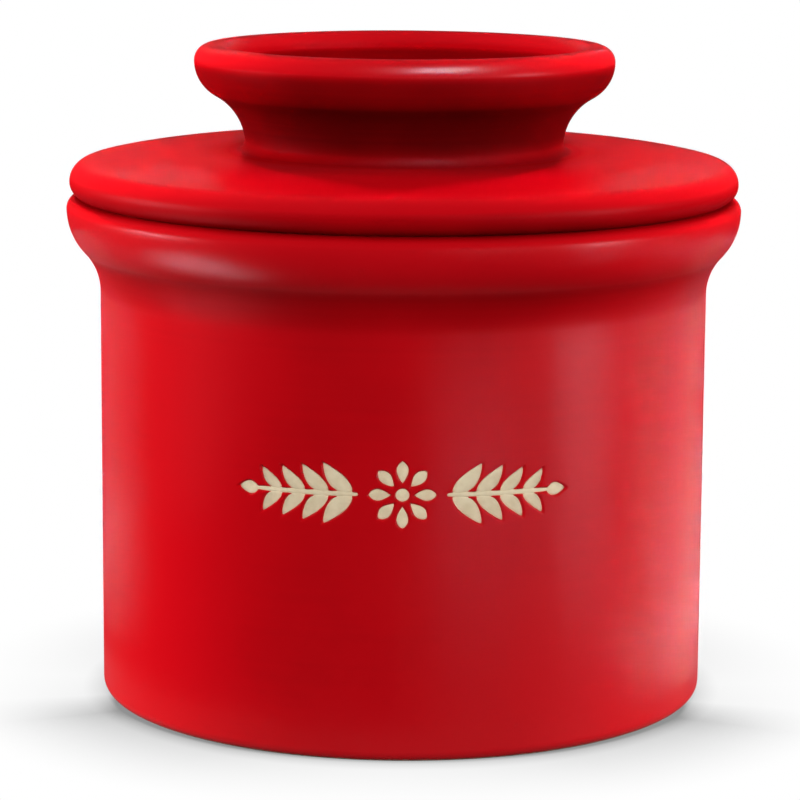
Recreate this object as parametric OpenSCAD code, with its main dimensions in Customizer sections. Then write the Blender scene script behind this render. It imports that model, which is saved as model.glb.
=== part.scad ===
// Butter keeper: a stoneware crock that holds a little water, and a lid whose
// bell hangs mouth-down in it, so that the water seals the butter from the air.
// Turned over, the lid stands on its flared knob and serves as a butter dish.
// Both pieces are turned forms: one closed section each, revolved about Z.
// Millimetres, +Z up, origin on the table under the middle of the crock.

/* [Crock] */
// Outside diameter of the straight body
body_d = 99.2; // [90:0.2:120]
// How far the collar stands out from the body all round
collar_out = 5.4; // [3:0.1:9]
// Height of the rim that the lid sits on
crock_h = 82; // [74:0.5:100]
// Thickness of the wall
wall_t = 5.2; // [4:0.1:6.5]
// Thickness of the floor
floor_t = 6; // [4:0.1:9]
// Radius of the heel, where the wall turns under
heel_r = 2; // [1:0.1:4]
// Radius of the hollow under the collar
cove_r = 10; // [7:0.1:14]
// Radius of the collar's swell
swell_r = 10; // [8:0.1:14]
// Radius on the outer edge of the rim
lip_r = 1.8; // [1:0.1:2.4]
// Radius on the inner edge of the rim
mouth_r = 1.5; // [0.5:0.1:1.8]
// Radius of the corner between floor and wall inside
floor_r = 8; // [4:0.5:14]

/* [Foot] */
// Width of the ring that the crock stands on
foot_w = 7; // [4:0.5:12]
// Depth of the hollow inside that ring
foot_hollow = 1.2; // [0.6:0.1:2]

/* [Lid] */
// How far the lid's edge stays inside the collar's
lid_inset = 0.5; // [0:0.1:2]
// Radius under the lid's edge
edge_low_r = 2.5; // [1.5:0.1:3]
// Radius over the lid's edge
edge_top_r = 3.4; // [2:0.1:4.5]
// Fall of the top from its flat middle to the rounded edge
shoulder_drop = 1.5; // [0.6:0.1:2.5]
// Diameter of the flat middle of the top
flat_d = 76; // [66:0.5:84]

/* [Bell] */
// Gap all round between the bell's mouth and the crock's wall
bell_gap = 5; // [3:0.1:8]
// Height of the bell's mouth above the crock's floor
bell_lift = 18; // [10:0.5:26]
// Thickness of the bell's wall
bell_t = 4.8; // [3.6:0.1:6]
// How much wider the bell's radius is at the mouth than at the lid
bell_flare = 1.5; // [0:0.1:3]
// Radius between the bell and the underside of the lid
root_r = 4; // [2:0.1:6]
// Radius of the corner inside, between ceiling and wall
ceiling_r = 8; // [4:0.5:14]
// Thickness of clay between the bell and the hollow of the knob
ceiling_t = 5.4; // [4:0.1:7]

/* [Knob] */
// Diameter of the knob's waist
waist_d = 51.8; // [46:0.2:58]
// How far the knob's lip stands out from its waist all round
knob_out = 8.3; // [5:0.1:9.5]
// Height of the knob above the flat of the lid
knob_h = 17.2; // [15:0.2:26]
// Thickness of the knob's wall
knob_t = 5.6; // [4:0.1:6]
// Radius of the hollow under the lip
knob_cove_r = 9.6; // [7:0.1:12]
// Radius of the lip's swell
knob_swell_r = 6.3; // [4:0.1:9]
// Radius on the outer edge of the lip
knob_lip_r = 2.6; // [1.5:0.1:2.8]
// Radius on the inner edge of the lip
knob_mouth_r = 2; // [0.8:0.1:2.4]
// Radius of the turn inside, where the knob's hollow opens out below its lip
dish_cove_r = 7; // [5:0.1:12]
// Radius of the turn inside, just under the lip
dish_swell_r = 3; // [1.5:0.1:5]
// Radius of the corner in the bottom of the knob's hollow
dish_floor_r = 4; // [2:0.1:4.5]
// Radius of the fillet where the knob meets the lid
base_r = 1.6; // [0.8:0.1:2.5]

/* [Hidden] */
$fn = 96;
glaze_red = "#b8060d";
cut_over = 1;

body_r = body_d / 2;
rim_r = body_r + collar_out;
well_r = body_r - wall_t;
foot_in_r = body_r - heel_r - foot_w;

seat_z = crock_h;
lid_r = rim_r - lid_inset;
edge_z = seat_z + edge_low_r;
top_z = edge_z + edge_top_r + shoulder_drop;
flat_r = flat_d / 2;

bell_lip_at = [well_r - bell_gap - bell_t / 2, floor_t + bell_lift + bell_t / 2];
bell_lean = atan(bell_flare / (seat_z - bell_lip_at.y));
bell_side = [cos(bell_lean), sin(bell_lean)];
bell_out_at = bell_lip_at + bell_side * bell_t / 2;
bell_in_at = bell_lip_at - bell_side * bell_t / 2;
bell_root_r = bell_line(bell_out_at, seat_z);
ceiling_z = top_z - ceiling_t;

waist_r = waist_d / 2;
knob_r = waist_r + knob_out;
knob_top_z = top_z + knob_h;
dish_r = waist_r - knob_t;
dish_mouth_r = knob_r - knob_t;
dish_side_h = knob_h - knob_lip_r - rise(dish_r, dish_mouth_r, dish_cove_r, dish_swell_r);

// Angle through which an S-shaped wall leans out between its neck and its lip
function lean(neck_r, out_r, cove, swell) = acos(1 - (out_r - neck_r) / (cove + swell));

// Height that an S-shaped wall takes from the end of the neck to its widest point
function rise(neck_r, out_r, cove, swell) =
    (cove + swell) * sin(lean(neck_r, out_r, cove, swell));

// Radius at height z of the line through a point that leans as the bell's wall does
function bell_line(at, z) = at.x - tan(bell_lean) * (z - at.y);

// Square-cornered fill from the axis out to r, between two heights
module fill_to(r, low_z, high_z) {
    translate([0, low_z]) square([r, high_z - low_z]);
}

// Disc of the section, centred at [radius, height]
module disc(at, r) {
    translate(at) circle(r);
}

// What is taken off the lower outside corner of a fill to round it
module low_corner(r, low_z, corner) {
    difference() {
        translate([r - corner, low_z - cut_over]) square(corner + cut_over);
        disc([r - corner, low_z + corner], corner);
    }
}

// Fill under a wall that stands straight, sweeps out through a cove and ends
// upright at its widest point; cove and swell meet on one tangent
module flare_fill(neck_r, out_r, cove, swell, low_z, wide_z) {
    neck_z = wide_z - rise(neck_r, out_r, cove, swell);
    cove_at = [neck_r + cove, neck_z];
    swell_at = [out_r - swell, wide_z];
    difference() {
        polygon([
            [0, low_z], [neck_r, low_z], [neck_r, neck_z], cove_at, swell_at, [0, wide_z]
        ]);
        disc(cove_at, cove);
    }
    intersection() {
        disc(swell_at, swell);
        fill_to(out_r, wide_z - swell, wide_z);
    }
}

// Fill of a flared vessel's outside, up to a lip with a rounded outer edge
module vessel_outside(neck_r, out_r, cove, swell, lip, low_z, high_z) {
    flare_fill(neck_r, out_r, cove, swell, low_z, high_z - lip);
    fill_to(out_r - lip, high_z - lip, high_z);
    disc([out_r - lip, high_z - lip], lip);
}

// Fill of a flared vessel's hollow: a floor with a rounded corner, and a mouth
// whose edge is rounded over
module vessel_hollow(in_r, mouth_in_r, cove, swell, lip, floor_z, corner, edge, high_z) {
    difference() {
        flare_fill(in_r, mouth_in_r, cove, swell, floor_z, high_z - lip);
        low_corner(in_r, floor_z, corner);
    }
    fill_to(mouth_in_r, high_z - lip, high_z + cut_over);
    difference() {
        fill_to(mouth_in_r + edge, high_z - edge, high_z + cut_over);
        disc([mouth_in_r + edge, high_z - edge], edge);
    }
}

// Hollow under the floor that leaves a ring to stand on, with a sloped side
module foot_cut() {
    polygon([
        [0, -cut_over], [foot_in_r, -cut_over], [foot_in_r, 0],
        [foot_in_r - foot_hollow, foot_hollow], [0, foot_hollow]
    ]);
}

// Fill of the lid's plate: flat middle, soft shoulder and bull-nosed edge
module plate_fill() {
    nose_at = [lid_r - edge_top_r, edge_z];
    reach = nose_at.x - flat_r;
    climb = top_z - edge_z;
    shoulder_r = (reach ^ 2 + climb ^ 2 - edge_top_r ^ 2) / (2 * (climb - edge_top_r));
    shoulder_at = [flat_r, top_z - shoulder_r];
    toward_nose = (nose_at - shoulder_at) / norm(nose_at - shoulder_at);
    meet_at = shoulder_at + shoulder_r * toward_nose;
    fill_to(lid_r - edge_low_r, seat_z, edge_z);
    intersection() {
        disc([lid_r - edge_low_r, edge_z], edge_low_r);
        fill_to(lid_r, seat_z, edge_z);
    }
    fill_to(flat_r, edge_z, top_z);
    intersection() {
        disc(shoulder_at, shoulder_r);
        polygon([
            [flat_r, edge_z], nose_at, meet_at,
            meet_at + cut_over * toward_nose, [flat_r, top_z + cut_over]
        ]);
    }
    intersection() {
        disc(nose_at, edge_top_r);
        fill_to(lid_r, edge_z, top_z);
    }
}

// Fill of the bell's outside, with the fillet at its root and a full-round lip
module bell_outside() {
    polygon([
        [0, bell_in_at.y], bell_in_at, bell_out_at, [bell_root_r, seat_z], [0, seat_z]
    ]);
    disc(bell_lip_at, bell_t / 2);
    difference() {
        translate([bell_root_r, seat_z - root_r]) square(root_r);
        disc([bell_root_r + root_r, seat_z - root_r], root_r);
    }
}

// Fill of the hollow that holds the butter, with a rounded corner at its ceiling
module bell_hollow() {
    low_z = bell_lip_at.y - bell_t;
    round_z = ceiling_z - ceiling_r;
    round_at = [bell_line(bell_in_at, round_z) - ceiling_r / cos(bell_lean), round_z];
    out = ceiling_r + cut_over;
    difference() {
        polygon([
            [0, low_z], [bell_in_at.x, low_z], bell_in_at,
            [bell_line(bell_in_at, ceiling_z), ceiling_z], [0, ceiling_z]
        ]);
        difference() {
            polygon([
                round_at, round_at + out * bell_side, round_at + [out, out],
                round_at + [0, out]
            ]);
            disc(round_at, ceiling_r);
        }
    }
}

// Fillet between the knob's waist and the flat of the lid
module base_fillet() {
    difference() {
        translate([waist_r, top_z]) square(base_r);
        disc([waist_r + base_r, top_z + base_r], base_r);
    }
}

// The crock: straight body, flared collar, coved well and a standing ring
module crock() {
    color(glaze_red) rotate_extrude() difference() {
        vessel_outside(body_r, rim_r, cove_r, swell_r, lip_r, 0, crock_h);
        vessel_hollow(
            well_r, rim_r - wall_t, cove_r + wall_t, swell_r - wall_t, lip_r,
            floor_t, floor_r, mouth_r, crock_h
        );
        low_corner(body_r, 0, heel_r);
        foot_cut();
    }
}

// The lid: plate, hanging bell and hollow knob, fired as one piece
module bell_lid() {
    color(glaze_red) rotate_extrude() difference() {
        union() {
            plate_fill();
            bell_outside();
            base_fillet();
            vessel_outside(
                waist_r, knob_r, knob_cove_r, knob_swell_r, knob_lip_r, edge_z, knob_top_z
            );
        }
        bell_hollow();
        vessel_hollow(
            dish_r, dish_mouth_r, dish_cove_r, dish_swell_r, knob_lip_r,
            top_z, min(dish_floor_r, dish_side_h), knob_mouth_r, knob_top_z
        );
    }
}

crock();
bell_lid();
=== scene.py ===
import bpy
import numpy as np
from mathutils import Matrix, Vector


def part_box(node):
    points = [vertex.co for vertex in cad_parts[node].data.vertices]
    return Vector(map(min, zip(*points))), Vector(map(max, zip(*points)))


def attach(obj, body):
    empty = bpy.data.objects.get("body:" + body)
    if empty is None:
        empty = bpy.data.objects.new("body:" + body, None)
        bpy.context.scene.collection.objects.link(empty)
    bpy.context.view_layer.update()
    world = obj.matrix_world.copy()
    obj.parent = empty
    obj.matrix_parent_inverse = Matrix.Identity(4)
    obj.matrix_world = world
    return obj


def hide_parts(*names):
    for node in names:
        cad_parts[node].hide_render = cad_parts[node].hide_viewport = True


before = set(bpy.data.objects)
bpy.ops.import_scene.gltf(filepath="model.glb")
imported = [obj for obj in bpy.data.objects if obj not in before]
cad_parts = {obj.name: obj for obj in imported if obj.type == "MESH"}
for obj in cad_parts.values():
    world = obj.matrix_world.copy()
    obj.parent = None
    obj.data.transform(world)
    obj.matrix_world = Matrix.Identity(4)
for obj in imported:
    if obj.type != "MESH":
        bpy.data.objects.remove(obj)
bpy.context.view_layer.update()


# The crock: a stoneware pot jiggered in one piece, with a straight body, a flared collar and a
# coved floor. It is dipped in satin red glaze outside, poured with cream glaze inside, and the
# ring that it stands on is wiped bare before firing. The lid lies loose on its rim.
crock_low, crock_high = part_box("crock")
crock_h = crock_high.z
rim_r = (crock_high.x - crock_low.x) / 2
collar_out = 0.0054
body_r = rim_r - collar_out
wall_t = 0.0052
floor_t = 0.006
floor_r = 0.008
heel_r = 0.002
cove_r = 0.010
swell_r = 0.010
lip_r = 0.0018
mouth_r = 0.0015
foot_w = 0.007
foot_hollow = 0.0012
foot_edge_r = 0.0004
glaze_breaks = 0.0026
# The collar's cove takes extra glaze, which also darkens it as painted shade under the collar.
collar_pool_and_shade = 0.08
sprig_z = 0.0421
sprig_half_w = 0.0272
sprig_half_h = 0.0056
sprig_off_deg = 1.3
stamp_step = 0.00017
plain_columns = 117
same_point = 1e-7


def run(a, b, rows=2):
    """Straight stretch of an outline: even steps from a to b, each point a radius and a height."""
    return np.linspace(a, b, rows)


def arc(centre, radius, start, stop, rows=12):
    """Round stretch of an outline: centre plus radius times cosine and sine of even turns."""
    turn = np.radians(np.linspace(start, stop, rows))
    return np.column_stack((centre[0] + radius * np.cos(turn), centre[1] + radius * np.sin(turn)))


def flare(neck_r, out_r, cove, swell, wide_z):
    """S-shaped stretch, upwards: a cove that leaves the neck upright, then a swell that ends
    upright at out_r and wide_z. The turn of each is the angle whose cosine is one less the
    outward step over the sum of the radii, so the two meet on one tangent."""
    lean = np.degrees(np.arccos(1 - (out_r - neck_r) / (cove + swell)))
    neck_z = wide_z - (cove + swell) * np.sin(np.radians(lean))
    hollow = arc((neck_r + cove, neck_z), cove, 180, 180 - lean, 14)
    return np.vstack((hollow, arc((out_r - swell, wide_z), swell, -lean, 0, 14)))


def join(*stretches):
    """One outline from stretches given as points, bare share, inside share and how much thicker
    the glaze lies there, where some values paint shade in and negative ones a highlight. A point
    that repeats the one before it is dropped. Gives the points and, for each, the three other values."""
    points = np.vstack([s[0] for s in stretches])
    shares = np.hstack([[np.broadcast_to(v, len(s[0])) for v in s[1:]] for s in stretches])
    step = np.hypot(*np.diff(points, axis=0).T)
    keep = np.concatenate(([True], step > same_point))
    return points[keep], shares[:, keep]


def skin(name, grids):
    """Closed surfaces over grids of points. In each grid the columns run round and join up, and
    the first and last rows are one point each, so they become the two poles."""
    points, faces, base = [], [], 0
    for grid in grids:
        rows, columns = grid.shape[0] - 2, grid.shape[1]
        points.append(np.vstack((grid[0, :1], grid[1:-1].reshape(-1, 3), grid[-1, :1])))
        ring = np.arange(columns)
        after = np.roll(ring, -1)
        start = base + 1 + columns * np.arange(rows - 1)[:, None]
        quads = np.stack((start + ring, start + after, start + columns + after,
                          start + columns + ring), axis=-1)
        last = base + 1 + columns * (rows - 1)
        low_pole = np.column_stack((np.full(columns, base), base + 1 + after, base + 1 + ring))
        top_pole = np.column_stack((last + ring, last + after, np.full(columns, last + columns)))
        faces += quads.reshape(-1, 4).tolist() + low_pole.tolist() + top_pole.tolist()
        base += len(points[-1])
    mesh = bpy.data.meshes.new(name)
    mesh.from_pydata(np.vstack(points), [], faces)
    mesh.polygons.foreach_set("use_smooth", np.ones(len(mesh.polygons), bool))
    piece = bpy.data.objects.new(name, mesh)
    bpy.context.scene.collection.objects.link(piece)
    return piece


def turned(name, outline, angles):
    """Outline turned about Z: radius times cosine and sine of the angle, and its own height. The
    glaze thins over ridges and pools in hollows: the tanh of the bend, one over its radius, times
    how far the glaze breaks, less how much thicker it lies. That extra thickness also carries
    painted shade, and where negative a painted highlight, into the same attribute."""
    points, (bare, inside, thick) = outline
    grid = np.empty((len(points), len(angles), 3))
    grid[..., 0] = points[:, :1] * np.cos(angles)
    grid[..., 1] = points[:, :1] * np.sin(angles)
    grid[..., 2] = points[:, 1:]
    piece = skin(name, [grid])
    along = np.diff(points, axis=0)
    length = np.hypot(*along.T)
    heading = np.unwrap(np.arctan2(along[:, 1], along[:, 0]))
    bend = np.zeros(len(points))
    bend[1:-1] = np.diff(heading) / ((length[1:] + length[:-1]) / 2)
    thin_and_shade = np.clip(np.tanh(bend * glaze_breaks) - thick, -1, 1)
    for _ in range(3):
        thin_and_shade[1:-1] = (thin_and_shade[:-2] + 2 * thin_and_shade[1:-1] + thin_and_shade[2:]) / 4
    for label, share in (("bare_clay", bare), ("inside_glaze", inside), ("thin_glaze_and_shade", thin_and_shade)):
        spread = np.concatenate((share[:1], np.repeat(share[1:-1], len(angles)), share[-1:]))
        layer = piece.data.attributes.new(label, "FLOAT", "POINT")
        layer.data.foreach_set("value", spread.astype(np.float32))
    return piece


foot_in_r = body_r - heel_r - foot_w
well_r = body_r - wall_t
mouth_in_r = rim_r - wall_t
wide_z = crock_h - lip_r
outer_flare = flare(body_r, rim_r, cove_r, swell_r, wide_z)
inner_flare = flare(well_r, mouth_in_r, cove_r + wall_t, swell_r - wall_t, wide_z)[::-1]
edge_back = foot_edge_r * np.tan(np.radians(22.5))
hollow_r = foot_in_r - foot_hollow - edge_back
collar_rows = np.arange(len(outer_flare))
# Glaze pooled in the collar's cove, partly painted shade under the collar's swell, thinner again near
# the lip.
collar_thick_and_shade = collar_pool_and_shade * np.interp(collar_rows, (0, 6, 22, 27), (0, 1, 1, 0.3))
stamp_rows = int(2 * sprig_half_h / stamp_step)
crock_outline = join(
    (run((0, foot_hollow), (hollow_r, foot_hollow), 5), 0, 0, 0),
    (arc((hollow_r, foot_hollow - foot_edge_r), foot_edge_r, 90, 45, 5), 0, 0, 0),
    (arc((foot_in_r + edge_back, foot_edge_r), foot_edge_r, 225, 270, 5), 1, 0, 0),
    (run((foot_in_r + edge_back, 0), (body_r - heel_r, 0), 6), 1, 0, 0),
    (arc((body_r - heel_r, heel_r), heel_r, -90, -55, 6), 1, 0, 0),
    (arc((body_r - heel_r, heel_r), heel_r, -50, 0, 8), 0, 0, 0),
    (run((body_r, heel_r), (body_r, sprig_z - sprig_half_h), 9), 0, 0, 0),
    (run((body_r, sprig_z - sprig_half_h), (body_r, sprig_z + sprig_half_h), stamp_rows), 0, 0, 0),
    (run((body_r, sprig_z + sprig_half_h), outer_flare[0], 6), 0, 0, 0),
    (outer_flare, 0, 0, collar_thick_and_shade),
    # The rim's lip darkens towards the lid: painted shade of the seam under the lid's edge.
    (arc((rim_r - lip_r, wide_z), lip_r, 0, 90, 10), 0, 0, np.linspace(0.5, 1.6, 10)),
    (arc((mouth_in_r + mouth_r, crock_h - mouth_r), mouth_r, 90, 180, 10), 0, 1, 0),
    (inner_flare, 0, 1, 0),
    (run(inner_flare[-1], (well_r, floor_t + floor_r), 6), 0, 1, 0),
    (arc((well_r - floor_r, floor_t + floor_r), floor_r, 0, -90, 12), 0, 1, 0),
    (run((well_r - floor_r, floor_t), (0, floor_t), 5), 0, 1, 0),
)
sprig_turn = np.radians(-90 + sprig_off_deg)
stamp_reach = sprig_half_w / body_r
stamped = np.arange(-stamp_reach, stamp_reach, stamp_step / body_r)
plain = np.linspace(stamp_reach, 2 * np.pi - stamp_reach, plain_columns, endpoint=False)
crock = turned("crock_pot", crock_outline, sprig_turn + np.concatenate((stamped, plain)))


def add(tree, kind, link=None, **settings):
    """Adds a node of the kind, with its settings, and links the given sockets into its inputs."""
    node = tree.nodes.new("ShaderNode" + kind)
    for key, value in settings.items():
        setattr(node, key, value)
    for socket, source in (link or {}).items():
        if isinstance(source, bpy.types.NodeSocket):
            tree.links.new(source, node.inputs[socket])
        else:
            node.inputs[socket].default_value = source
    return node


def glazed_stoneware(name):
    """Satin red glaze that breaks lighter where it is thin and pools darker where it is thick, with
    painted shade and a painted highlight carried in as if they were thicker or thinner glaze,
    cream glaze on the inside, and bare gritty clay where the glaze is wiped off."""
    material = bpy.data.materials.new(name)
    material.use_nodes = True
    tree = material.node_tree
    shader = tree.nodes["Principled BSDF"]
    place = add(tree, "TexCoord").outputs["Object"]
    cloud = add(tree, "TexNoise", {"Vector": place, "Scale": 42, "Detail": 3}).outputs["Fac"]
    peel = add(tree, "TexNoise", {"Vector": place, "Scale": 330, "Detail": 2}).outputs["Fac"]
    grit = add(tree, "TexNoise", {"Vector": place, "Scale": 2400, "Detail": 3}).outputs["Fac"]
    thin_and_shade = add(tree, "Attribute", attribute_name="thin_glaze_and_shade").outputs["Fac"]
    bare = add(tree, "Attribute", attribute_name="bare_clay").outputs["Fac"]
    inside = add(tree, "Attribute", attribute_name="inside_glaze").outputs["Fac"]

    mottle = add(tree, "MapRange", {"Value": cloud, "From Min": 0.25, "From Max": 0.75,
                                    "To Min": -0.05, "To Max": 0.05}).outputs["Result"]
    lay_and_shade = add(tree, "MapRange", {"Value": thin_and_shade, "From Min": -1, "From Max": 1,
                                 "To Min": 0.1, "To Max": 0.9}).outputs["Result"]
    split = add(tree, "SeparateXYZ", {0: place})
    flat = add(tree, "CombineXYZ", {"X": split.outputs["X"], "Y": split.outputs["Y"]}).outputs[0]
    radius = add(tree, "VectorMath", {0: flat}, operation="LENGTH").outputs["Value"]
    along = add(tree, "Math", {0: radius, 1: split.outputs["Z"]}, operation="ADD").outputs[0]
    turning = add(tree, "TexNoise", {"W": along, "Scale": 700, "Detail": 1}, noise_dimensions="1D")
    rings = add(tree, "MapRange", {"Value": turning.outputs["Fac"], "From Min": 0.25,
                                   "From Max": 0.75, "To Min": -0.008,
                                   "To Max": 0.008}).outputs["Result"]
    uneven = add(tree, "Math", {0: mottle, 1: rings}, operation="ADD").outputs[0]
    depth_and_shade = add(tree, "Math", {0: lay_and_shade, 1: uneven}, operation="ADD").outputs[0]
    # The darkest reds show pooled glaze and painted shade alike.
    reds = add(tree, "ValToRGB", {"Fac": depth_and_shade})
    stops = reds.color_ramp.elements
    stops[0].position = 0.1
    stops[0].color = (0.09, 0.0003, 0.0008, 1)
    stops[1].color = (0.57, 0.0036, 0.0085, 1)
    stops.new(0.28).color = (0.27, 0.0005, 0.0022, 1)
    stops.new(0.5).color = (0.50, 0.0008, 0.0044, 1)
    creams = add(tree, "ValToRGB", {"Fac": depth_and_shade})
    stops = creams.color_ramp.elements
    stops[0].color = (0.66, 0.57, 0.41, 1)
    stops[1].color = (0.74, 0.68, 0.55, 1)
    clays = add(tree, "ValToRGB", {"Fac": grit})
    stops = clays.color_ramp.elements
    stops[0].position = 0.3
    stops[0].color = (0.36, 0.26, 0.17, 1)
    stops[1].position = 0.6
    stops[1].color = (0.58, 0.47, 0.33, 1)

    ragged = add(tree, "Math", {0: bare, 1: mottle}, operation="ADD").outputs[0]
    wiped = add(tree, "MapRange", {"Value": ragged, "From Min": 0.45,
                                   "From Max": 0.6}).outputs["Result"]
    lining = add(tree, "MapRange", {"Value": inside, "From Min": 0.4,
                                    "From Max": 0.6}).outputs["Result"]
    coat = add(tree, "Mix", {"Factor": lining, "A": reds.outputs["Color"],
                             "B": creams.outputs["Color"]}, data_type="RGBA")
    surface = add(tree, "Mix", {"Factor": wiped, "A": coat.outputs["Result"],
                                "B": clays.outputs["Color"]}, data_type="RGBA")
    tree.links.new(surface.outputs["Result"], shader.inputs["Base Color"])

    satin = add(tree, "MapRange", {"Value": lay_and_shade, "From Min": 0.36, "From Max": 0.48,
                                   "To Min": 0.5, "To Max": 0.31}).outputs["Result"]
    glossy = add(tree, "Mix", {"Factor": lining, "A": satin, "B": 0.16}).outputs["Result"]
    dull = add(tree, "Mix", {"Factor": wiped, "A": glossy, "B": 0.85}).outputs["Result"]
    tree.links.new(dull, shader.inputs["Roughness"])
    red_sheen = add(tree, "MapRange", {"Value": lay_and_shade, "From Min": 0.36, "From Max": 0.48,
                                       "To Min": 0.08, "To Max": 0.5}).outputs["Result"]
    sheen = add(tree, "Mix", {"Factor": lining, "A": red_sheen, "B": 0.5}).outputs["Result"]
    tree.links.new(sheen, shader.inputs["Specular IOR Level"])

    waves = add(tree, "Bump", {"Height": peel, "Strength": 0.01, "Distance": 0.001}).outputs["Normal"]
    tooth = add(tree, "Math", {0: grit, 1: wiped}, operation="MULTIPLY").outputs[0]
    rough = add(tree, "Bump", {"Height": tooth, "Strength": 0.5, "Distance": 0.0004,
                               "Normal": waves})
    tree.links.new(rough.outputs["Normal"], shader.inputs["Normal"])
    return material


red_stoneware = glazed_stoneware("red_stoneware")
crock.data.materials.append(red_stoneware)
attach(crock, "crock_body")
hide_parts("crock")


# The sprig: an ornament stamped into the front of the crock while the clay is leather hard, a
# rosette with a leafy stem to each side. Each stroke leaves a hollow with steep sides, which the
# potter fills with cream slip to just below the surface.
stamp_depth = 0.0008
stamp_side = 0.00034
slip_sunk = 0.00034
slip_half_t = 0.00040
slip_square = 0.5
slip_taper = 0.4
dot_r = 0.0011
petal_count = 8
petal_from = 0.0016
petal_len = 0.0037
petal_half_w = 0.00098
stem_from = 0.0068
stem_to = 0.0232
stem_half_w = 0.00045
bud_len = 0.0037
bud_half_w = 0.0011
bud_overlap = 0.0003
leaf_pairs = 4
leaf_lean = 44
leaf_len = 0.0066
leaf_half_w = 0.00135
leaf_bow = 0.0005
leaf_taper = 0.09
leaf_first = 0.0009
leaf_last = 0.0014
leaf_off = 0.0003
near_skin = 1e-5


def sprig_strokes():
    """Every stroke as start along the band, start height, lean, length, half width, bow, skew and
    fullness. A stroke's half width is the sine of half a turn times its share of length to the
    power of skew, raised to the power of fullness: 1 is a leaf, 0.5 a dot and 0.1 a stem."""
    strokes = [(-dot_r, 0, 0, 2 * dot_r, dot_r, 0, 1, 0.5)]
    for turn in np.radians(np.arange(petal_count) * 360 / petal_count + 90):
        strokes.append((petal_from * np.cos(turn), petal_from * np.sin(turn), turn, petal_len,
                        petal_half_w, 0, 1.35, 0.8))
    for side, way in ((1, 0), (-1, np.pi)):
        strokes.append((side * stem_from, 0, way, stem_to - stem_from, stem_half_w, 0, 1, 0.12))
        strokes.append((side * (stem_to - bud_overlap), 0, way, bud_len, bud_half_w, 0, 0.75, 1))
        for pair in range(leaf_pairs):
            root = stem_from + leaf_first + pair * (stem_to - stem_from - leaf_last) / leaf_pairs
            size = 1 - leaf_taper * pair
            for up in (1, -1):
                lean = way + side * up * np.radians(leaf_lean)
                strokes.append((side * root, up * leaf_off, lean, leaf_len * size,
                                leaf_half_w * size, -side * up * leaf_bow, 0.8, 0.9))
    return strokes


def stroke_width(share, half_w, skew, fullness):
    """Half width of a stroke at each share of its length, by the rule of sprig_strokes."""
    return half_w * np.abs(np.sin(np.pi * share ** skew)) ** fullness


def stroke_gap(along_band, up_band, stroke):
    """How far each point of the band lies outside a stroke, and below zero how far inside: its
    distance from the bowed middle line less the half width, or from the nearer end past it."""
    start_s, start_h, lean, length, half_w, bow, skew, fullness = stroke
    east, north = along_band - start_s, up_band - start_h
    along = east * np.cos(lean) + north * np.sin(lean)
    across = north * np.cos(lean) - east * np.sin(lean)
    share = np.clip(along / length, 0, 1)
    across = across - bow * np.sin(np.pi * share)
    past = along - share * length
    within = np.abs(across) - stroke_width(share, half_w, skew, fullness)
    return np.where((along > 0) & (along < length), within, np.hypot(past, across))


strokes = sprig_strokes()
points = np.empty(len(crock.data.vertices) * 3)
crock.data.vertices.foreach_get("co", points)
points = points.reshape(-1, 3)
radius = np.hypot(points[:, 0], points[:, 1])
turn_off = np.arctan2(points[:, 1], points[:, 0]) - sprig_turn
band_s = body_r * ((turn_off + np.pi) % (2 * np.pi) - np.pi)
band_h = points[:, 2] - sprig_z
in_band = (np.abs(band_s) < sprig_half_w) & (np.abs(band_h) < sprig_half_h)
pressed = in_band & (radius > body_r - near_skin)
gap = np.min([stroke_gap(band_s[pressed], band_h[pressed], s) for s in strokes], axis=0)
down = np.clip((stamp_side / 3 - gap) / stamp_side, 0, 1)
sunk = stamp_depth * down ** 2 * (3 - 2 * down)
points[pressed, :2] *= (1 - sunk / body_r)[:, None]
crock.data.vertices.foreach_set("co", points.ravel())
crock.data.update()


def slip_stroke(stroke, rows=28, columns=20):
    """Slip in one stroke: a flat tube along the stroke's middle line, as wide as the stroke and
    square in its turn like a superellipse, bent round the crock just below its surface."""
    start_s, start_h, lean, length, half_w, bow, skew, fullness = stroke
    share = (1 - np.cos(np.pi * np.linspace(0, 1, rows))) / 2
    turn = np.linspace(0, 2 * np.pi, columns, endpoint=False)
    side = np.sign(np.cos(turn)) * np.abs(np.cos(turn)) ** slip_square
    rise = np.sign(np.sin(turn)) * np.abs(np.sin(turn)) ** slip_square
    width = stroke_width(share, half_w, skew, fullness)
    across = bow * np.sin(np.pi * share)[:, None] + width[:, None] * side
    thick = slip_half_t * np.minimum(1, width / (slip_taper * half_w))[:, None] * rise
    along = (share * length)[:, None]
    s = start_s + along * np.cos(lean) - across * np.sin(lean)
    h = start_h + along * np.sin(lean) + across * np.cos(lean)
    r = body_r - slip_sunk - slip_half_t + thick
    angle = sprig_turn + s / body_r
    return np.stack((r * np.cos(angle), r * np.sin(angle), sprig_z + h), axis=-1)


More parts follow.
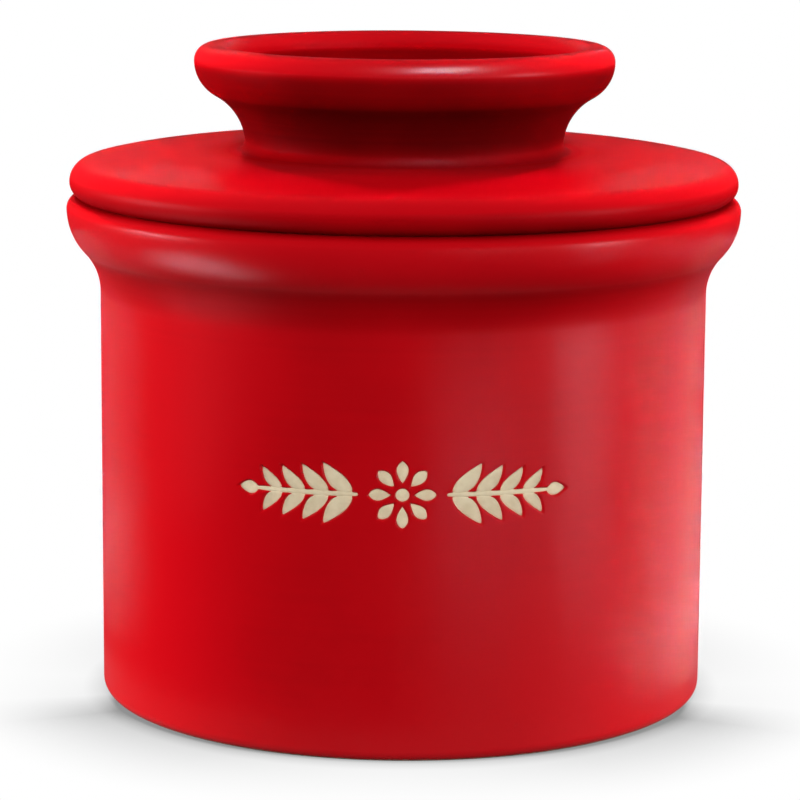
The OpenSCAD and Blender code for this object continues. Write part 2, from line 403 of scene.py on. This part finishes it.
def cream_slip(name):
    """Fired slip: warm cream, a little uneven in tone, with a dry eggshell surface."""
    material = bpy.data.materials.new(name)
    material.use_nodes = True
    tree = material.node_tree
    shader = tree.nodes["Principled BSDF"]
    place = add(tree, "TexCoord").outputs["Object"]
    cloud = add(tree, "TexNoise", {"Vector": place, "Scale": 700, "Detail": 4})
    creams = add(tree, "ValToRGB", {"Fac": cloud.outputs["Fac"]})
    stops = creams.color_ramp.elements
    stops[0].position = 0.3
    stops[0].color = (0.70, 0.58, 0.38, 1)
    stops[1].position = 0.65
    stops[1].color = (0.79, 0.68, 0.47, 1)
    tree.links.new(creams.outputs["Color"], shader.inputs["Base Color"])
    shader.inputs["Roughness"].default_value = 0.6
    grain = add(tree, "Bump", {"Height": cloud.outputs["Fac"], "Strength": 0.3,
                               "Distance": 0.0003})
    tree.links.new(grain.outputs["Normal"], shader.inputs["Normal"])
    return material


sprig = skin("slip_sprig", [slip_stroke(s) for s in strokes])
sprig.data.materials.append(cream_slip("cream_slip"))
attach(sprig, "crock_body")


# The lid: plate, hanging bell and hollow flared knob, fired as one piece of the same stoneware.
# It is glazed red over its plate and knob and cream over the bell, which goes in the crock, and
# the bell's lip, on which it stood in the kiln, is bare. It lies on the rim by its own weight.
lid_low, lid_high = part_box("bell_lid")
seat_z = crock_h
lid_r = (lid_high.x - lid_low.x) / 2
knob_top_z = lid_high.z
edge_low_r = 0.0025
edge_top_r = 0.0034
shoulder_drop = 0.0015
flat_r = 0.038
bell_t = 0.0048
bell_flare = 0.0015
bell_gap = 0.005
root_r = 0.004
ceiling_r = 0.008
ceiling_t = 0.0054
waist_r = 0.0259
knob_out = 0.0083
knob_t = 0.0056
knob_cove_r = 0.0096
knob_swell_r = 0.0063
knob_lip_r = 0.0026
knob_mouth_r = 0.002
dish_cove_r = 0.007
dish_swell_r = 0.003
dish_floor_r = 0.004
base_r = 0.0016
# The edge bead darkens the lid's lower edge, partly glaze bead and partly painted shade of the seam.
edge_bead_and_shade = 1.6
# The waist pool darkens the knob's underside: pooled glaze and painted shade under its lip.
waist_pool_and_shade = 1.15
pool_and_shade_fade_up = 0.0014
pool_and_shade_fade_down = 0.0024
# The foot break lightens the fillet round the knob's foot as a painted highlight.
foot_painted_highlight = 0.25
lid_columns = 224
edge_z = seat_z + edge_low_r
top_z = edge_z + edge_top_r + shoulder_drop
ceiling_z = top_z - ceiling_t
knob_r = waist_r + knob_out
knob_wide_z = knob_top_z - knob_lip_r
dish_r = waist_r - knob_t
dish_mouth_r = knob_r - knob_t

bell_lip = np.array((well_r - bell_gap - bell_t / 2, lid_low.z + bell_t / 2))
bell_lean = np.arctan(bell_flare / (seat_z - bell_lip[1]))
bell_out = bell_lip + bell_t / 2 * np.array((np.cos(bell_lean), np.sin(bell_lean)))
bell_in = 2 * bell_lip - bell_out


def bell_wall(through, z):
    """Point at height z on the line through a point that leans as the bell's wall does."""
    return np.array((through[0] - np.tan(bell_lean) * (z - through[1]), z))


lean_deg = np.degrees(bell_lean)
ceiling_at = bell_wall(bell_in, ceiling_z - ceiling_r) - (ceiling_r / np.cos(bell_lean), 0)
root_at = bell_wall(bell_out, seat_z - root_r) + (root_r / np.cos(bell_lean), 0)
ceiling_corner = arc(ceiling_at, ceiling_r, 90, lean_deg, 14)
root_corner = arc(root_at, root_r, 180 + lean_deg, 90, 12)

nose_at = np.array((lid_r - edge_top_r, edge_z))
reach, climb = nose_at[0] - flat_r, top_z - edge_z
shoulder_r = (reach**2 + climb**2 - edge_top_r**2) / (2 * (climb - edge_top_r))
shoulder_at = np.array((flat_r, top_z - shoulder_r))
shoulder_turn = np.degrees(np.arctan2(nose_at[1] - shoulder_at[1], reach))

knob_flare = flare(waist_r, knob_r, knob_cove_r, knob_swell_r, knob_wide_z)
dish_flare = flare(dish_r, dish_mouth_r, dish_cove_r, dish_swell_r, knob_wide_z)[::-1]
above = knob_flare[:, 1] > top_z + base_r
# Knob's waist: darker from just above its widest line to near the foot, pooled glaze with painted
# shade under the lip.
pooled_and_shaded = np.clip((knob_wide_z + pool_and_shade_fade_up - knob_flare[:, 1]) / pool_and_shade_fade_up, 0, 1)
pooled_and_shaded *= np.clip((knob_flare[:, 1] - top_z) / pool_and_shade_fade_down, 0, 1)
# Lid's lower edge and nose: glaze bead, made darker as painted shade of the seam above the rim.
bead_low_and_shade = edge_bead_and_shade * np.linspace(1, 0.7, 12)
bead_top_and_shade = edge_bead_and_shade * np.interp(np.arange(14), (0, 5, 9), (0.7, 0.25, 0))
knob_rim = (knob_r - knob_lip_r, knob_wide_z)
dish_rim = (dish_mouth_r + knob_mouth_r, knob_top_z - knob_mouth_r)
dish_corner = (dish_r - dish_floor_r, top_z + dish_floor_r)
lid_outline = join(
    (run((0, ceiling_z), ceiling_corner[0], 5), 0, 1, 0),
    (ceiling_corner, 0, 1, 0),
    (run(ceiling_corner[-1], bell_in, 8), 0, 1, 0),
    (arc(bell_lip, bell_t / 2, 180 + lean_deg, 225, 6), 0, 1, 0),
    (arc(bell_lip, bell_t / 2, 232, 308, 12), 1, 1, 0),
    (arc(bell_lip, bell_t / 2, 315, 360 + lean_deg, 6), 0, 1, 0),
    (run(bell_out, root_corner[0], 8), 0, 1, 0),
    (root_corner, 0, 1, 0),
    (run(root_corner[-1], (lid_r - edge_low_r, seat_z), 6), 0, 0, 0),
    (arc((lid_r - edge_low_r, edge_z), edge_low_r, -90, 0, 12), 0, 0, bead_low_and_shade),
    (arc(nose_at, edge_top_r, 0, shoulder_turn, 14), 0, 0, bead_top_and_shade),
    (arc(shoulder_at, shoulder_r, shoulder_turn, 90, 14), 0, 0, 0),
    # The plate darkens towards the knob's foot: painted shade under the knob's lip.
    (run((flat_r, top_z), (waist_r + base_r, top_z), 5), 0, 0, (0, 0, 0.05, 0.15, 0.35)),
    # Fillet round the knob's foot: made lighter than its hollow would give, a painted highlight of
    # its lit line.
    (arc((waist_r + base_r, top_z + base_r), base_r, 270, 180, 10), 0, 0, -foot_painted_highlight),
    (knob_flare[above], 0, 0, waist_pool_and_shade * pooled_and_shaded[above]),
    (arc(knob_rim, knob_lip_r, 0, 90, 12), 0, 0, 0),
    (arc(dish_rim, knob_mouth_r, 90, 180, 10), 0, 0, 0),
    (dish_flare, 0, 0, 0),
    (arc(dish_corner, dish_floor_r, 0, -90, 10), 0, 0, 0),
    (run((dish_r - dish_floor_r, top_z), (0, top_z), 5), 0, 0, 0),
)
lid_angles = np.linspace(0, 2 * np.pi, lid_columns, endpoint=False)
lid = turned("bell_lid_glazed", lid_outline, lid_angles)
lid.data.materials.append(red_stoneware)
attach(lid, "lid_body")
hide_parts("bell_lid")


# The stage: a pale floor with a soft shadow painted on it from how hidden each point is, in a
#  white room. The camera sees both as white; to everything else they are dim, so that the satin
#  glaze keeps its depth as in the photograph.
floor_half = 2.5
shadow_reach = 0.027
shadow_side = 1.2
shadow_contact = 0.32
contact_reach = 0.004
shadow_most = 0.72
bounce_r = 0.060
bounce_fade = 0.012
bounce_near = 0.16
bounce_far = 0.02
room_level = 0.04
lamp_aim = Vector((0, 0, 0.05))
gloss_tint = (1, 0.92, 1.05)


def shown_white(tree):
    """Share of a ray that sees the floor or the room as white: the camera's, or one through glass."""
    path = add(tree, "LightPath").outputs
    seen_by = {0: path["Is Camera Ray"], 1: path["Is Transmission Ray"]}
    return add(tree, "Math", seen_by, operation="MAXIMUM").outputs[0]


floor_mesh = bpy.data.meshes.new("floor")
corners = [(x * floor_half, y * floor_half, 0) for x, y in ((-1, -1), (1, -1), (1, 1), (-1, 1))]
floor_mesh.from_pydata(corners, [], [(0, 1, 2, 3)])
floor = bpy.data.objects.new("floor", floor_mesh)
bpy.context.scene.collection.objects.link(floor)
pale = bpy.data.materials.new("pale_floor")
pale.use_nodes = True
tree = pale.node_tree
tree.nodes.clear()
shown = shown_white(tree)
place = add(tree, "TexCoord").outputs["Object"]
away = add(tree, "VectorMath", {0: place}, operation="LENGTH").outputs["Value"]
split = add(tree, "SeparateXYZ", {0: place})
cosine = add(tree, "Math", {0: split.outputs["Y"], 1: away}, operation="DIVIDE").outputs[0]
ahead = add(tree, "MapRange", {"Value": cosine, "From Min": 1, "From Max": -1}).outputs["Result"]
# Painted shadow: the floor's white dims by how hidden each point is near the crock, weighted round
# about by this ramp, most at the front left and right. The lamps cast no shadow on it.
painted_shadow_round = add(tree, "ValToRGB", {"Fac": ahead})
stops = painted_shadow_round.color_ramp.elements
stops[0].color = (0.45, 0.45, 0.45, 1)
stops[1].color = (0.20, 0.20, 0.20, 1)
for turn, share in ((0.30, 0.28), (0.49, 0.14), (0.61, 0.22), (0.71, 1.0), (0.78, 0.75), (0.92, 0.5)):
    stops.new(turn).color = (share, share, share, 1)
weight = add(tree, "Math", {0: painted_shadow_round.outputs["Color"], 1: shadow_side}, operation="MULTIPLY")
near = add(tree, "AmbientOcclusion", {"Distance": shadow_reach}, samples=16).outputs["AO"]
hidden = add(tree, "Math", {0: 1.0, 1: near}, operation="SUBTRACT").outputs[0]
soft = add(tree, "Math", {0: hidden, 1: weight.outputs[0]}, operation="MULTIPLY").outputs[0]
touch = add(tree, "AmbientOcclusion", {"Distance": contact_reach}, samples=16).outputs["AO"]
close = add(tree, "Math", {0: 1.0, 1: touch}, operation="SUBTRACT").outputs[0]
both = add(tree, "Math", {0: close, 1: shadow_contact, 2: soft}, operation="MULTIPLY_ADD").outputs[0]
painted_shadow = add(tree, "Math", {0: both, 1: shadow_most}, operation="MINIMUM").outputs[0]
light = add(tree, "Math", {0: 1.0, 1: painted_shadow}, operation="SUBTRACT").outputs[0]
seen = add(tree, "Emission", {"Color": (1, 1, 1, 1), "Strength": light})
ring = add(tree, "MapRange", {"Value": away, "From Min": bounce_r, "From Max": bounce_r + bounce_fade,
                              "To Min": bounce_near, "To Max": bounce_far}).outputs["Result"]
dim = add(tree, "BsdfDiffuse", {"Color": ring})
either = add(tree, "MixShader", {0: shown, 1: dim.outputs[0], 2: seen.outputs[0]})
tree.links.new(either.outputs[0], add(tree, "OutputMaterial").inputs["Surface"])
floor_mesh.materials.append(pale)

world = bpy.data.worlds.new("white_room")
bpy.context.scene.world = world
world.use_nodes = True
tree = world.node_tree
tree.nodes.clear()
room = add(tree, "Background", {"Color": (1, 1, 1, 1), "Strength": room_level})
white = add(tree, "Background", {"Color": (1, 1, 1, 1), "Strength": 1.0})
either = add(tree, "MixShader", {0: shown_white(tree), 1: room.outputs[0], 2: white.outputs[0]})
tree.links.new(either.outputs[0], add(tree, "OutputWorld").inputs["Surface"])


def card(name, at, aim, wide, tall, level, grid=180, gloss=True):
    """Area lamp that only the glaze's gloss sees, so that it gives one soft highlight where it is
    aimed, or else only its body colour. Its level is the brightness of a white card that faces it
    at its aim. Grid is the whole angle in degrees past which it sends no light."""
    lamp = bpy.data.lights.new(name, "AREA")
    lamp.shape = "RECTANGLE"
    lamp.size, lamp.size_y = wide, tall
    lamp.spread = np.radians(grid)
    look = Vector(aim) - Vector(at)
    lamp.energy = level * np.pi ** 2 * look.length_squared
    lamp.color = gloss_tint if gloss else (1, 1, 1)
    lamp.cycles.use_multiple_importance_sampling = False
    thing = bpy.data.objects.new(name, lamp)
    thing.location = at
    thing.rotation_euler = look.to_track_quat("-Z", "Y").to_euler()
    thing.visible_camera = False
    thing.visible_glossy = gloss
    thing.visible_diffuse = not gloss
    bpy.context.scene.collection.objects.link(thing)


def softbox(name, turn, rise, level, wide, tall, gloss=False, distance=0.9):
    """A card farther off, without a grid, at a turn from the front, positive to the right, and a
    rise above the object's middle, at which it is aimed."""
    around, up = np.radians(turn - 90), np.radians(rise)
    way = Vector((np.cos(up) * np.cos(around), np.cos(up) * np.sin(around), np.sin(up)))
    card(name, lamp_aim + distance * way, lamp_aim, wide, tall, level, gloss=gloss)


softbox("left_softbox", -108, 4, 2.75, 0.5, 0.4)
softbox("right_softbox", 109, 4, 2.20, 0.5, 0.4)
softbox("top_softbox", 180, 80, 0.26, 0.3, 0.3)
softbox("front_fill", 3, 24, 0.86, 0.5, 0.4)
softbox("right_strip", 69, 2, 0.09, 0.2, 0.16, gloss=True)
softbox("front_right_strip", 30, 3, 0.02, 0.5, 0.2, gloss=True)
softbox("back_strip_left", -165, 24, 0.005, 0.2, 0.2, gloss=True)
softbox("back_strip_right", 165, 24, 0.006, 0.2, 0.2, gloss=True)
card("knob_card", (0.048, -0.114, 0.200), (0.007, -0.0335, 0.1045), 0.13, 0.012, 0.055, 16)
card("collar_card", (-0.108, -0.046, 0.022), (-0.036, -0.041, 0.0775), 0.05, 0.034, 0.012, 40)
card("collar_low_card", (-0.080, -0.050, 0.010), (-0.037, -0.039, 0.0735), 0.036, 0.02, 0.005, 40)
card("lid_left_spot", (-0.222, 0.281, 0.390), (-0.040, -0.010, 0.0894),
     0.05, 0.05, 0.0115, 12, gloss=False)
card("lid_right_spot", (0.222, 0.281, 0.390), (0.037, -0.008, 0.0894),
     0.05, 0.05, 0.0115, 12, gloss=False)
card("lid_edge_card", (-0.128, -0.038, 0.083), (-0.038, -0.038, 0.086), 0.09, 0.006, 0.014, 28)
card("right_front_card", (0.124, -0.071, 0.031), (0.029, -0.040, 0.036), 0.05, 0.06, 0.009, 60)
card("right_card", (0.104, 0.000, 0.031), (0.042, -0.026, 0.031), 0.09, 0.06, 0.040, 60)
card("right_edge_card", (0.084, 0.045, 0.031), (0.0475, -0.010, 0.031), 0.06, 0.06, 0.020, 60)
card("right_low_card", (0.082, 0.014, 0.016), (0.046, -0.012, 0.014), 0.07, 0.03, 0.036, 90)
card("right_foot_card", (0.065, -0.014, 0.006), (0.042, -0.025, 0.006), 0.05, 0.012, 0.10, 90)
card("front_low_card", (0.10, -0.19, 0.014), (0.012, -0.047, 0.020), 0.22, 0.022, 0.006, 44)
card("left_card", (-0.094, 0.040, 0.031), (-0.046, -0.013, 0.031), 0.07, 0.06, 0.016, 90)
card("left_low_card", (-0.075, 0.018, 0.015), (-0.047, -0.010, 0.013), 0.06, 0.028, 0.016, 90)


# The camera: in front of the crock and a little above it, with a long lens, as in the photograph.
camera_at = Vector((0.0118, -0.5618, 0.1492))
camera_pitch = np.radians(10.218)
camera_yaw = np.radians(-1.246)
camera_roll = np.radians(0.364)
sensor_mm = 36
lens_mm = 155.35
forward = Vector((np.sin(camera_yaw) * np.cos(camera_pitch),
                  np.cos(camera_yaw) * np.cos(camera_pitch), -np.sin(camera_pitch)))
level = forward.cross(Vector((0, 0, 1))).normalized()
upright = level.cross(forward)
right = level * np.cos(camera_roll) + upright * np.sin(camera_roll)
up = upright * np.cos(camera_roll) - level * np.sin(camera_roll)
camera_data = bpy.data.cameras.new("camera")
camera_data.sensor_width = sensor_mm
camera_data.lens = lens_mm
camera_data.clip_start = 0.01
camera = bpy.data.objects.new("camera", camera_data)
turned_to = Matrix((right, up, -forward)).transposed().to_4x4()
camera.matrix_world = Matrix.Translation(camera_at) @ turned_to
bpy.context.scene.collection.objects.link(camera)
bpy.context.scene.camera = camera
bpy.context.scene.view_settings.view_transform = "Standard"
